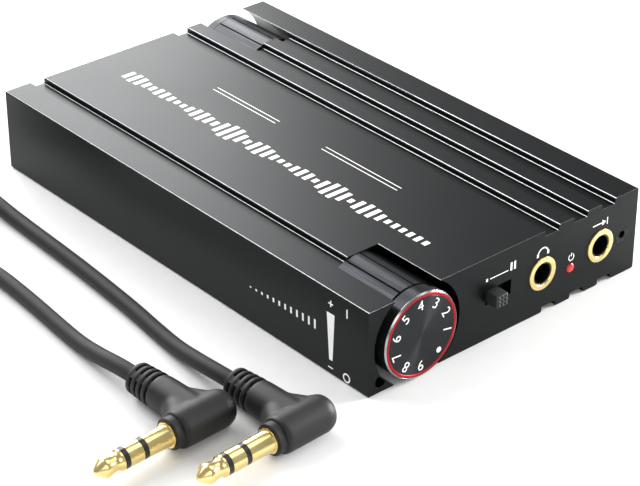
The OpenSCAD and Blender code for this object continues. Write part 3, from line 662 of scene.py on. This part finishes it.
# the emission is a painted glow that makes the print brighter than the lamps alone would
ink = node(white_ink_painted_glow, "BsdfPrincipled", {
    "Base Color": tone.outputs["Color"], "Roughness": 0.45, "Emission Color": linear("#ffffff"),
    "Emission Strength": 0.12,
})
node(white_ink_painted_glow, "OutputMaterial", {"Surface": ink.outputs["BSDF"]})

bm = bmesh.new()
for figure in range(1, 10):
    text = bpy.data.curves.new("figure", "FONT")
    text.body = str(figure)
    text.align_x = "CENTER"
    text.size = font_size
    text.offset = -0.01
    text.resolution_u = 6
    lettering = bpy.data.objects.new("figure", text)
    bpy.context.collection.objects.link(lettering)
    seen = lettering.evaluated_get(bpy.context.evaluated_depsgraph_get())
    flat = bpy.data.meshes.new_from_object(seen)
    bpy.data.objects.remove(lettering)
    turn = math.radians(first_figure + figure_step * (figure - 1))
    foot = Matrix.Translation((0, figure_r - figure_h / 2, 0))
    flat.transform(Matrix.Rotation(turn - math.pi / 2, 4, "Z") @ foot)
    bm.from_mesh(flat)
dot = bmesh.ops.create_circle(bm, cap_ends=True, radius=dot_r, segments=32)["verts"]
turn = math.radians(dot_angle)
bmesh.ops.translate(bm, vec=(figure_r * math.cos(turn), figure_r * math.sin(turn), 0), verts=dot)
bmesh.ops.remove_doubles(bm, verts=bm.verts, dist=0.001)
grown = bmesh.ops.extrude_face_region(bm, geom=bm.faces[:], use_keep_orig=True)
skin = [v for v in grown["geom"] if isinstance(v, bmesh.types.BMVert)]
bmesh.ops.translate(bm, vec=(0, 0, print_t), verts=skin)
stand_up = Matrix.Translation(Vector((wheel_axis[0], wheel_front, wheel_axis[2])) * MM)
bm.transform(stand_up @ Matrix.Rotation(math.pi / 2, 4, "X") @ Matrix.Scale(MM, 4))
finished(bm, "wheel_figures", white_ink_painted_glow, "volume")

# ---------------------------------------------------------------- potentiometer
# Carbon-track potentiometer inside the front barrel. Its can is nickel-plated steel,
# the track wafer is phenolic paper, and its shaft carries the wheel.
nickel = empty_material("steel_nickel_plated")
place = node(nickel, "TexCoord").outputs["Object"]
smear = node(nickel, "TexNoise", {"Vector": place, "Scale": 800, "Detail": 3})
gloss = node(nickel, "MapRange", {"Value": smear.outputs["Fac"], "To Min": 0.18, "To Max": 0.34})
tone = node(nickel, "ValToRGB", {"Fac": smear.outputs["Fac"]}, ramp=("#b4b6b8", "#cfd1d2"))
metal = node(nickel, "BsdfPrincipled", {
    "Base Color": tone.outputs["Color"], "Metallic": 1, "Roughness": gloss.outputs["Result"],
})
node(nickel, "OutputMaterial", {"Surface": metal.outputs["BSDF"]})
for name in ("pot_shaft", "pot_can", "gain_switch_can", "jack_springs", "board_screws", "charge_socket"):
    coat(name, nickel)

# Spring brass: warm yellow, rolled, with a light tarnish.
brass = empty_material("brass_rolled_bare")
place = node(brass, "TexCoord").outputs["Object"]
tarnish = node(brass, "TexNoise", {"Vector": place, "Scale": 600, "Detail": 3})
tone = node(brass, "ValToRGB", {"Fac": tarnish.outputs["Fac"]}, ramp=("#b08a45", "#d9b864"))
metal = node(brass, "BsdfPrincipled", {"Base Color": tone.outputs["Color"], "Metallic": 1, "Roughness": 0.28})
node(brass, "OutputMaterial", {"Surface": metal.outputs["BSDF"]})
for name in ("pot_wiper", "gain_bridge"):
    coat(name, brass)

# Phenolic paper board: tobacco brown, flat, with the fibres of the paper in it.
phenolic = empty_material("phenolic_paper_brown")
place = node(phenolic, "TexCoord").outputs["Object"]
fibre = node(phenolic, "TexNoise", {"Vector": place, "Scale": 2200, "Detail": 5, "Distortion": 1.5})
tone = node(phenolic, "ValToRGB", {"Fac": fibre.outputs["Fac"]}, ramp=("#5e3c20", "#8f6238"))
board = node(phenolic, "BsdfPrincipled", {"Base Color": tone.outputs["Color"], "Roughness": 0.55})
node(phenolic, "OutputMaterial", {"Surface": board.outputs["BSDF"]})
for name in ("pot_track", "gain_switch_terminals"):
    coat(name, phenolic)

# Wire insulation: thin red PVC, satin.
red_wire = empty_material("pvc_wire_red")
place = node(red_wire, "TexCoord").outputs["Object"]
waves = node(red_wire, "TexNoise", {"Vector": place, "Scale": 1500, "Detail": 2})
tone = node(red_wire, "ValToRGB", {"Fac": waves.outputs["Fac"]}, ramp=("#98201c", "#b92c26"))
skin = node(red_wire, "BsdfPrincipled", {"Base Color": tone.outputs["Color"], "Roughness": 0.4})
node(red_wire, "OutputMaterial", {"Surface": skin.outputs["BSDF"]})
for name in ("pot_wires", "battery_wires"):
    coat(name, red_wire)

# ---------------------------------------------------------------- gain slider
# Moulded nylon knob of the slide switch. Nine studs on its end give grip, and its
# carriage slides inside the switch's can.
knob_x = (-4.8, -2.3)
knob_z = (6.9, 9.1)
knob_front = -51.3
stud_gap = (0.78, 0.7)
stud_shape = [(-0.05, 0), (-0.05, 0.27), (0.12, 0.22), (0.2, 0.12), (0.2, 0)]
carriage_y = (-46.7, -45.1)
carriage_z = (6.2, 9.8)

# Glass-filled nylon: black, dull, with a grainy skin.
nylon = empty_material("nylon_moulded_black")
place = node(nylon, "TexCoord").outputs["Object"]
grain = node(nylon, "TexNoise", {"Vector": place, "Scale": 5000, "Detail": 3})
tone = node(nylon, "ValToRGB", {"Fac": grain.outputs["Fac"]}, ramp=("#161718", "#2c2d2e"))
bump = node(nylon, "Bump", {"Height": grain.outputs["Fac"], "Strength": 0.4, "Distance": 0.03 * MM})
plastic = node(nylon, "BsdfPrincipled", {
    "Base Color": tone.outputs["Color"], "Roughness": 0.5, "Normal": bump.outputs["Normal"],
})
node(nylon, "OutputMaterial", {"Surface": plastic.outputs["BSDF"]})

bm = bmesh.new()
for low, high in (
    ((knob_x[0], knob_front, knob_z[0]), (knob_x[1], carriage_y[0] + 0.1, knob_z[1])),
    ((knob_x[0] - 1, carriage_y[0], carriage_z[0]), (knob_x[1] + 1, carriage_y[1], carriage_z[1])),
):
    low, high = Vector(low) * MM, Vector(high) * MM
    block = bmesh.ops.create_cube(bm, size=1)["verts"]
    bmesh.ops.scale(bm, vec=high - low, verts=block)
    bmesh.ops.translate(bm, vec=(low + high) / 2, verts=block)
bmesh.ops.bevel(
    bm, geom=bm.edges[:], offset=0.12 * MM, segments=3, profile=0.5, affect="EDGES", material=-1,
)
for i in (-1, 0, 1):
    for k in (-1, 0, 1):
        middle_x = (knob_x[0] + knob_x[1]) / 2 + stud_gap[0] * i
        middle_z = (knob_z[0] + knob_z[1]) / 2 + stud_gap[1] * k
        lathe(bm, stud_shape, (middle_x, knob_front, middle_z), (0, -1, 0), 16)
knob = finished(bm, "gain_slider_moulded", nylon, "gain", sharp=50)
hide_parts("gain_slider")

# ---------------------------------------------------------------- jacks
# Each 3.5 mm jack has a gilt bushing pressed into the front plate, lined with the
# black throat of the body behind it, which carries the sprung contacts. The black
# lining is partly that plastic and partly painted shade down the bore.
bushing_r = 3
bore_r = 1.8
throat_r = 2
bushing_front = -49.3
bushing_back = -44.7
shoulder = -47.3
neck_r = 2.5
for name in ("line_out_bushing", "line_in_bushing"):
    low, high = (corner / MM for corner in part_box(name))
    middle = ((low.x + high.x) / 2, 0, (low.z + high.z) / 2)
    bm = bmesh.new()
    lathe(bm, [
        (bushing_back, throat_r), (bushing_front + 0.2, throat_r),
        (bushing_front + 0.06, throat_r + 0.06), (bushing_front, throat_r + 0.14),
        (bushing_front, bushing_r - 0.16), (bushing_front + 0.05, bushing_r - 0.05),
        (bushing_front + 0.16, bushing_r), (shoulder, bushing_r), (shoulder, neck_r),
        (bushing_back, neck_r), (bushing_back, throat_r),
    ], middle, (0, 1, 0), 128)
    bushing = finished(bm, name + "_turned", gold, "case")
    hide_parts(name)
    # black sleeve in the bore: the body's plastic, and painted shade for the dark of the hole
    bm = bmesh.new()
    lathe(bm, [
        (bushing_back, bore_r), (bushing_front + 0.24, bore_r), (bushing_front + 0.24, throat_r),
        (bushing_back, throat_r), (bushing_back, bore_r),
    ], middle, (0, 1, 0), 64)
    throat_and_shade = finished(bm, name + "_throat_and_shade", acetal, "case")

# Jack bodies and the inlet's tongue: black PBT, moulded with a fine texture.
pbt = empty_material("pbt_moulded_black")
place = node(pbt, "TexCoord").outputs["Object"]
grain = node(pbt, "TexNoise", {"Vector": place, "Scale": 6000, "Detail": 3})
gloss = node(pbt, "MapRange", {"Value": grain.outputs["Fac"], "To Min": 0.4, "To Max": 0.6})
plastic = node(pbt, "BsdfPrincipled", {"Base Color": linear("#141415"), "Roughness": gloss.outputs["Result"]})
node(pbt, "OutputMaterial", {"Surface": plastic.outputs["BSDF"]})
for name in ("line_out_body", "line_in_body", "charge_tongue"):
    coat(name, pbt)

# ---------------------------------------------------------------- lamps
# Small round lamps cast in epoxy with a domed end: a red one at the front, lit
# while the amplifier is on, and a clear one at the rear for charging.
lamp_r = 0.9
lamp_l = 3.55
lamp_face = 49.15
flange_r = 1.08

# Lit red epoxy: bright over the chip, in the middle, and deeper red round it.
lamp_red = empty_material("epoxy_lit_red")
lamp_middle = (Vector(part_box("power_led")[0]) + Vector(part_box("power_led")[1])) / 2
lamp_middle.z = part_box("power_led")[1][2] - lamp_r * MM
place = node(lamp_red, "TexCoord").outputs["Object"]
centred = node(lamp_red, "VectorMath", {0: place, 1: lamp_middle}, operation="SUBTRACT")
parts = node(lamp_red, "SeparateXYZ", {0: centred.outputs[0]})
flat = node(lamp_red, "CombineXYZ", {"X": parts.outputs["X"], "Y": parts.outputs["Z"]})
reach = node(lamp_red, "VectorMath", {0: flat.outputs[0]}, operation="LENGTH")
glow = node(lamp_red, "MapRange", {"Value": reach.outputs["Value"], "From Max": lamp_r * MM})
tone = node(lamp_red, "ValToRGB", {"Fac": glow.outputs["Result"]}, ramp=("#ff3020", "#8c0202"))
tone.color_ramp.elements[0].position = 0.2
tone.color_ramp.elements[1].position = 0.95
epoxy = node(lamp_red, "BsdfPrincipled", {
    "Base Color": linear("#700404"), "Roughness": 0.2, "IOR": 1.54, "Emission Color": tone.outputs["Color"],
    "Emission Strength": 1.1,
})
node(lamp_red, "OutputMaterial", {"Surface": epoxy.outputs["BSDF"]})

# Clear epoxy, unlit: water clear over a small grey chip.
lamp_clear = empty_material("epoxy_clear")
place = node(lamp_clear, "TexCoord").outputs["Object"]
haze = node(lamp_clear, "TexNoise", {"Vector": place, "Scale": 1200, "Detail": 1})
tone = node(lamp_clear, "ValToRGB", {"Fac": haze.outputs["Fac"]}, ramp=("#b9c0c6", "#e6eaee"))
epoxy = node(lamp_clear, "BsdfPrincipled", {
    "Base Color": tone.outputs["Color"], "Roughness": 0.1, "IOR": 1.54, "Transmission Weight": 0.35,
})
node(lamp_clear, "OutputMaterial", {"Surface": epoxy.outputs["BSDF"]})

for name, material, sign, slot_name in (
    ("power_led", lamp_red, 1, "lamp_red"), ("charge_led", lamp_clear, -1, "lamp_clear"),
):
    low, high = (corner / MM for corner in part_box(name))
    middle = ((low.x + high.x) / 2, -lamp_face * sign, high.z - lamp_r)
    bm = bmesh.new()
    lathe(bm, [
        (-0.12, 0), (-0.1, 0.32), (0, 0.62), (0.14, 0.82), (0.32, lamp_r), (lamp_l - 1.8, lamp_r),
        (lamp_l - 1.8, flange_r), (lamp_l - 1.4, flange_r), (lamp_l - 1.4, 0),
    ], middle, (0, sign, 0), 48)
    lamp = finished(bm, name + "_lens", material, "case", sharp=40)
    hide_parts(name)

# ---------------------------------------------------------------- electronics
# Fibreglass board with the amplifier's chips, the filter capacitors, the charging
# chip, and the flat lithium cell that lies over it on a foam pad.
# Solder mask: glossy green over copper, with tracks that show as lighter lines.
mask = empty_material("fibreglass_board_green_mask")
place = node(mask, "TexCoord").outputs["Object"]
tracks = node(mask, "TexBrick", {
    "Vector": place, "Scale": 220, "Color1": linear("#1c6637"), "Color2": linear("#1c6637"),
    "Mortar": linear("#2f8a4f"), "Mortar Size": 0.05, "Brick Width": 1.7, "Row Height": 0.35,
})
weave = node(mask, "TexNoise", {"Vector": place, "Scale": 3000, "Detail": 2})
bump = node(mask, "Bump", {"Height": weave.outputs["Fac"], "Strength": 0.15, "Distance": 0.02 * MM})
board = node(mask, "BsdfPrincipled", {
    "Base Color": tracks.outputs["Color"], "Roughness": 0.25, "Normal": bump.outputs["Normal"],
})
node(mask, "OutputMaterial", {"Surface": board.outputs["BSDF"]})
coat("circuit_board", mask)

# Chip epoxy: charcoal, very fine grain.
chip_epoxy = empty_material("epoxy_chip_charcoal")
place = node(chip_epoxy, "TexCoord").outputs["Object"]
grain = node(chip_epoxy, "TexNoise", {"Vector": place, "Scale": 8000, "Detail": 2})
tone = node(chip_epoxy, "ValToRGB", {"Fac": grain.outputs["Fac"]}, ramp=("#131415", "#242526"))
epoxy = node(chip_epoxy, "BsdfPrincipled", {"Base Color": tone.outputs["Color"], "Roughness": 0.6})
node(chip_epoxy, "OutputMaterial", {"Surface": epoxy.outputs["BSDF"]})
for name in ("amp_chips", "charge_chip"):
    coat(name, chip_epoxy)

# Drawn aluminium cans, and the laminated foil of the cell: bright, softly creased, with painted shade
# darkening the hollows of the creases.
foil = empty_material("aluminium_drawn_bare")
place = node(foil, "TexCoord").outputs["Object"]
crease_and_painted_shade = node(foil, "TexNoise", {"Vector": place, "Scale": 260, "Detail": 4, "Distortion": 0.8})
tone = node(foil, "ValToRGB", {"Fac": crease_and_painted_shade.outputs["Fac"]}, ramp=("#8f9499", "#c3c8cd"))
bump = node(foil, "Bump", {"Height": crease_and_painted_shade.outputs["Fac"], "Strength": 0.3, "Distance": 0.1 * MM})
metal = node(foil, "BsdfPrincipled", {
    "Base Color": tone.outputs["Color"], "Metallic": 1, "Roughness": 0.38, "Normal": bump.outputs["Normal"],
})
node(foil, "OutputMaterial", {"Surface": metal.outputs["BSDF"]})
for name in ("filter_capacitors", "battery"):
    coat(name, foil)

# Polyurethane foam tape: dark grey, open pores of 0.4 mm, with painted shade that darkens the hollow of each
# pore.
foam = empty_material("polyurethane_foam_grey")
place = node(foam, "TexCoord").outputs["Object"]
pores_and_painted_shade = node(foam, "TexVoronoi", {"Vector": place, "Scale": 2500})
tone = node(foam, "ValToRGB", {"Fac": pores_and_painted_shade.outputs["Distance"]}, ramp=("#22262b", "#4c525a"))
bump = node(foam, "Bump", {"Height": pores_and_painted_shade.outputs["Distance"], "Strength": 0.8, "Distance": 0.2 * MM})
sponge = node(foam, "BsdfPrincipled", {
    "Base Color": tone.outputs["Color"], "Roughness": 0.95, "Normal": bump.outputs["Normal"],
})
node(foam, "OutputMaterial", {"Surface": sponge.outputs["BSDF"]})
coat("battery_pad", foam)

# Connector shell: natural nylon, creamy and slightly waxy.
natural_nylon = empty_material("nylon_natural_cream")
place = node(natural_nylon, "TexCoord").outputs["Object"]
clouds = node(natural_nylon, "TexNoise", {"Vector": place, "Scale": 900, "Detail": 2})
tone = node(natural_nylon, "ValToRGB", {"Fac": clouds.outputs["Fac"]}, ramp=("#dcd7c4", "#ece8da"))
plastic = node(natural_nylon, "BsdfPrincipled", {
    "Base Color": tone.outputs["Color"], "Roughness": 0.45, "Subsurface Weight": 0.1,
    "Subsurface Radius": (MM, MM, 0.7 * MM),
})
node(natural_nylon, "OutputMaterial", {"Surface": plastic.outputs["BSDF"]})
coat("battery_connector", natural_nylon)

# ---------------------------------------------------------------- printed marks
# White screen printing on the case, all of it plain signs: level bars and pairs of
# fine lines on top, a rising scale with its wedge on the left side, and a small
# sign over each control on the front.
case_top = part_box("shell")[1].z / MM
case_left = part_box("shell")[0].x / MM
case_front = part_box("front_plate")[0].y / MM


def bar(u0, v0, u1, v1):
    return [(u0, v0), (u1, v0), (u1, v1), (u0, v1)]


def arc(u, v, r, width, start, end, steps=28):
    """Part of a ring in short outlines, from one angle to another in degrees."""
    turns = [math.radians(start + (end - start) * i / steps) for i in range(steps + 1)]
    outside, inside = (
        [(u + edge * math.cos(t), v + edge * math.sin(t)) for t in turns]
        for edge in (r + width / 2, r - width / 2)
    )
    return [[outside[i], outside[i + 1], inside[i + 1], inside[i]] for i in range(steps)]


def stencil(name, outlines, origin, right, up):
    """Prints flat outlines, in mm right and up of an origin on a face of the case."""
    right, up = Vector(right), Vector(up)
    out = right.cross(up)
    bm = bmesh.new()
    for outline in outlines:
        verts = [bm.verts.new(right * u + up * v) for u, v in outline]
        bm.faces.new(verts)
    bmesh.ops.remove_doubles(bm, verts=bm.verts, dist=0.001)
    grown = bmesh.ops.extrude_face_region(bm, geom=bm.faces[:], use_keep_orig=True)
    skin = [v for v in grown["geom"] if isinstance(v, bmesh.types.BMVert)]
    bmesh.ops.translate(bm, vec=out * print_t, verts=skin)
    bmesh.ops.translate(bm, vec=Vector(origin) - out * 0.005, verts=bm.verts)
    bmesh.ops.scale(bm, vec=(MM, MM, MM), verts=bm.verts)
    return finished(bm, name, white_ink_painted_glow, "case")


# top: bars of a wave, read from the rear to the front, and two pairs of fine lines
wave = []
bars = 45
pitch = 1.8
for i in range(bars):
    swell = 0.5 + 0.5 * math.sin(math.pi * (i + 0.5) / bars)
    height = 1.2 + 3.9 * swell * abs(math.sin(0.62 * i + 0.9) * math.cos(0.19 * i))
    wave.append(bar(i * pitch, -height / 2, i * pitch + 0.95, height / 2))
stencil("top_level_bars", wave, (-9.2, 40.4, case_top), (0, -1, 0), (1, 0, 0))
fine = []
for start, end in ((-25.4, -8), (4.4, 23.6)):
    for v in (-0.1, -1.1):
        fine.append(bar(start, v - 0.08, end, v + 0.08))
stencil("top_fine_lines", fine, (0, 0, case_top), (0, -1, 0), (1, 0, 0))

# left side: a scale that rises to the wedge, plus and minus, and the on and off signs
side_signs = [bar(20.3 + 1.45 * i, 6.7, 20.3 + 1.45 * i + 0.42, 6.95 + 0.13 * i) for i in range(12)]
side_signs.append([(39.91, 2.65), (40.69, 2.65), (41.13, 11.25), (39.3, 11.25)])
side_signs += [bar(39.65, 12.89, 40.8, 13.11), bar(40.11, 12.42, 40.34, 12.889)]
side_signs += [bar(40.11, 13.111, 40.34, 13.58)]
side_signs += [bar(39.65, 1.14, 40.8, 1.36), bar(43.9, 12.15, 44.17, 13.75)]
side_signs += arc(44.03, 1.15, 0.72, 0.26, 0, 360)
stencil("side_signs", side_signs, (case_left, 0, 0), (0, -1, 0), (0, 0, 1))

# front: low and high beside the slide, out, power and in
front_signs = [bar(-5.1, 11, -4.7, 11.55), bar(-4.2, 11.19, -0.2, 11.35), bar(0.3, 11, 0.7, 12.5)]
front_signs += [bar(1.1, 11, 1.5, 12.5)]
front_signs += arc(7.7, 11.25, 1.15, 0.24, 0, 180)
front_signs += [bar(6.3, 10.95, 6.75, 11.6), bar(8.65, 10.95, 9.1, 11.6)]
front_signs += arc(14.5, 8, 0.6, 0.17, 125, 415) + [bar(14.42, 8.15, 14.58, 8.8)]
front_signs += [bar(19.3, 11.75, 21.7, 11.95), [(21.55, 11.3), (22.4, 11.85), (21.55, 12.4)]]
front_signs += [bar(22.65, 11.2, 22.85, 12.5)]
stencil("front_signs", front_signs, (0, case_front, 0), (1, 0, 0), (0, 0, 1))

# ---------------------------------------------------------------- table top and light
# Plain white table, lit by five soft panels: one behind, which the satin top mirrors,
# two high up behind and to the right, a broad weaker one in front, and a small one
# low at the right, which draws the fan on the wheel.
matt_white = empty_material("table_matt_white")
place = node(matt_white, "TexCoord").outputs["Object"]
grain = node(matt_white, "TexNoise", {"Vector": place, "Scale": 300, "Detail": 3})
tone = node(matt_white, "ValToRGB", {"Fac": grain.outputs["Fac"]}, ramp=("#f1f1f0", "#f6f6f5"))
paint = node(matt_white, "BsdfPrincipled", {"Base Color": tone.outputs["Color"], "Roughness": 0.8})
node(matt_white, "OutputMaterial", {"Surface": paint.outputs["BSDF"]})
mesh = bpy.data.meshes.new("table_top")
bm = bmesh.new()
bmesh.ops.create_grid(bm, x_segments=1, y_segments=1, size=3)
bmesh.ops.translate(bm, vec=(0, 0, -0.1 * MM), verts=bm.verts)
bm.to_mesh(mesh)
bm.free()
table_top = bpy.data.objects.new("table_top", mesh)
bpy.context.collection.objects.link(table_top)
mesh.materials.append(matt_white)

for name, spot, aim, width, height, power in (
    ("panel_behind", (0.13, 0.54, 0.26), (-0.02, 0.02, 0.01), 0.48, 0.44, 5.2),
    ("panel_above", (-0.22, 0.48, 0.6), (0, 0, 0), 0.5, 0.45, 3.8),
    ("panel_high", (0.35, -0.1, 0.6), (0, 0, 0), 0.4, 0.4, 1.0),
    ("panel_front", (-0.5, -0.75, 0.5), (0, 0, 0), 0.6, 0.5, 2.4),
    ("panel_right", (0.454, -0.186, 0.12), (-0.02, -0.05, 0.008), 0.22, 0.16, 5.0),
):
    lamp_data = bpy.data.lights.new(name, "AREA")
    lamp_data.shape = "RECTANGLE"
    lamp_data.size = width
    lamp_data.size_y = height
    lamp_data.energy = power
    panel = bpy.data.objects.new(name, lamp_data)
    bpy.context.collection.objects.link(panel)
    panel.location = spot
    panel.rotation_mode = "QUATERNION"
    panel.rotation_quaternion = (Vector(spot) - Vector(aim)).to_track_quat("Z", "Y")
    panel.visible_camera = False

world = bpy.data.worlds.new("studio")
bpy.context.scene.world = world
world.use_nodes = True
world.node_tree.nodes["Background"].inputs["Color"].default_value = linear("#e8eaec")
world.node_tree.nodes["Background"].inputs["Strength"].default_value = 0.5
bpy.context.scene.view_settings.view_transform = "Standard"
